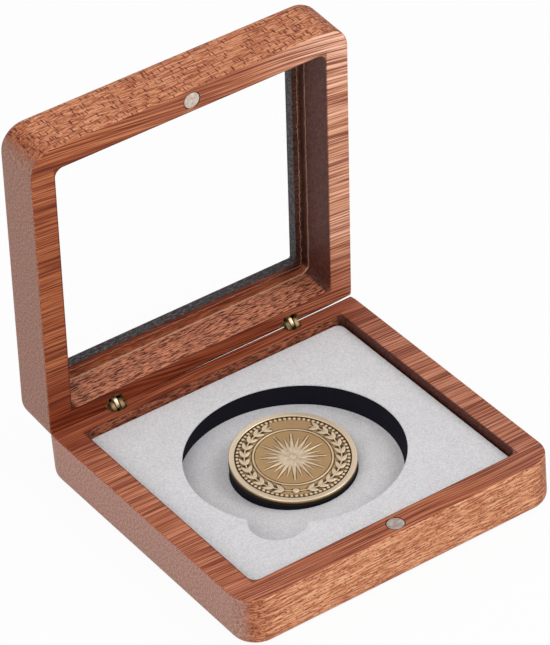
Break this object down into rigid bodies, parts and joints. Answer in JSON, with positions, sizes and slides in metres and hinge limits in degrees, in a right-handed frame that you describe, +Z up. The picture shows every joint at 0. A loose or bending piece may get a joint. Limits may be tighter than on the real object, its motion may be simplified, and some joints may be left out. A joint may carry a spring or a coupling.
{
  "type": "coin display box",
  "caption": "Small square wooden coin display box standing open, with a glazed lid on concealed barrel hinges, a magnet catch and a flannel insert with a leaning coin.",
  "frame": {"origin": "middle of the base's underside, on the surface that the box stands on", "axes": "+X to the right as the box is opened, +Y towards the hinges, +Z up; the lid is stored standing open"},
  "size_m": [0.076, 0.0846, 0.0843],
  "materials": {
    "wood": "satin oiled reddish-brown hardwood with short dark pores",
    "glass": "clear polished",
    "flannel": "light grey short nap",
    "foam": "black closed-cell foam",
    "coin_brass": "aged struck brass",
    "magnet": "dull nickel plate",
    "hinge_brass": "drawn brass"
  },
  "bodies": {
    "base": {"base_tray": "wood", "base_magnet": "magnet", "left_base_barrel": "hinge_brass", "left_base_pin": "hinge_brass", "right_base_barrel": "hinge_brass", "right_base_pin": "hinge_brass"},
    "lid": {"lid_frame": "wood", "window_pane": "glass", "lid_magnet": "magnet", "left_lid_barrel": "hinge_brass", "left_lid_pin": "hinge_brass", "right_lid_barrel": "hinge_brass", "right_lid_pin": "hinge_brass"},
    "insert": {"lower_foam": "foam", "lower_flannel": "flannel", "upper_foam": "foam", "upper_flannel": "flannel", "coin_rest": "foam"},
    "coin": {"coin": "coin_brass"},
    "left_base_leaf": {"left_base_leaf_outer": "hinge_brass", "left_base_leaf_inner": "hinge_brass", "left_centre_pin": "hinge_brass"},
    "left_lid_leaf": {"left_lid_leaf": "hinge_brass"},
    "right_base_leaf": {"right_base_leaf_outer": "hinge_brass", "right_base_leaf_inner": "hinge_brass", "right_centre_pin": "hinge_brass"},
    "right_lid_leaf": {"right_lid_leaf": "hinge_brass"}
  },
  "joints": [
    {"name": "lid_hinge", "type": "hinge", "parent": "base", "child": "lid", "pos_m": [0, 0.03382, 0.01185], "axis": [-1, 0, 0], "range_deg": [-85, 0]},
    {"name": "left_base_leaf_turn", "type": "hinge", "parent": "base", "child": "left_base_leaf", "pos_m": [-0.022, 0.03332, 0.0113], "axis": [-1, 0, 0], "range_deg": [-85, 0]},
    {"name": "left_lid_leaf_turn", "type": "hinge", "parent": "lid", "child": "left_lid_leaf", "pos_m": [-0.022, 0.03432, 0.0124], "axis": [-1, 0, 0], "range_deg": [0, 85]},
    {"name": "right_base_leaf_turn", "type": "hinge", "parent": "base", "child": "right_base_leaf", "pos_m": [0.022, 0.03332, 0.0113], "axis": [-1, 0, 0], "range_deg": [-85, 0]},
    {"name": "right_lid_leaf_turn", "type": "hinge", "parent": "lid", "child": "right_lid_leaf", "pos_m": [0.022, 0.03432, 0.0124], "axis": [-1, 0, 0], "range_deg": [0, 85]},
    {"name": "insert_lift", "type": "slide", "parent": "base", "child": "insert", "axis": [0, 0, 1], "range_m": [0, 0.0046]},
    {"name": "coin_lift", "type": "slide", "parent": "insert", "child": "coin", "axis": [0, 0, 1], "range_m": [0, 0.0046]}
  ],
  "couplings": [
    {"joint": "left_base_leaf_turn", "follows": "lid_hinge", "ratio": 1},
    {"joint": "left_lid_leaf_turn", "follows": "lid_hinge", "ratio": -1},
    {"joint": "right_base_leaf_turn", "follows": "lid_hinge", "ratio": 1},
    {"joint": "right_lid_leaf_turn", "follows": "lid_hinge", "ratio": -1}
  ]
}
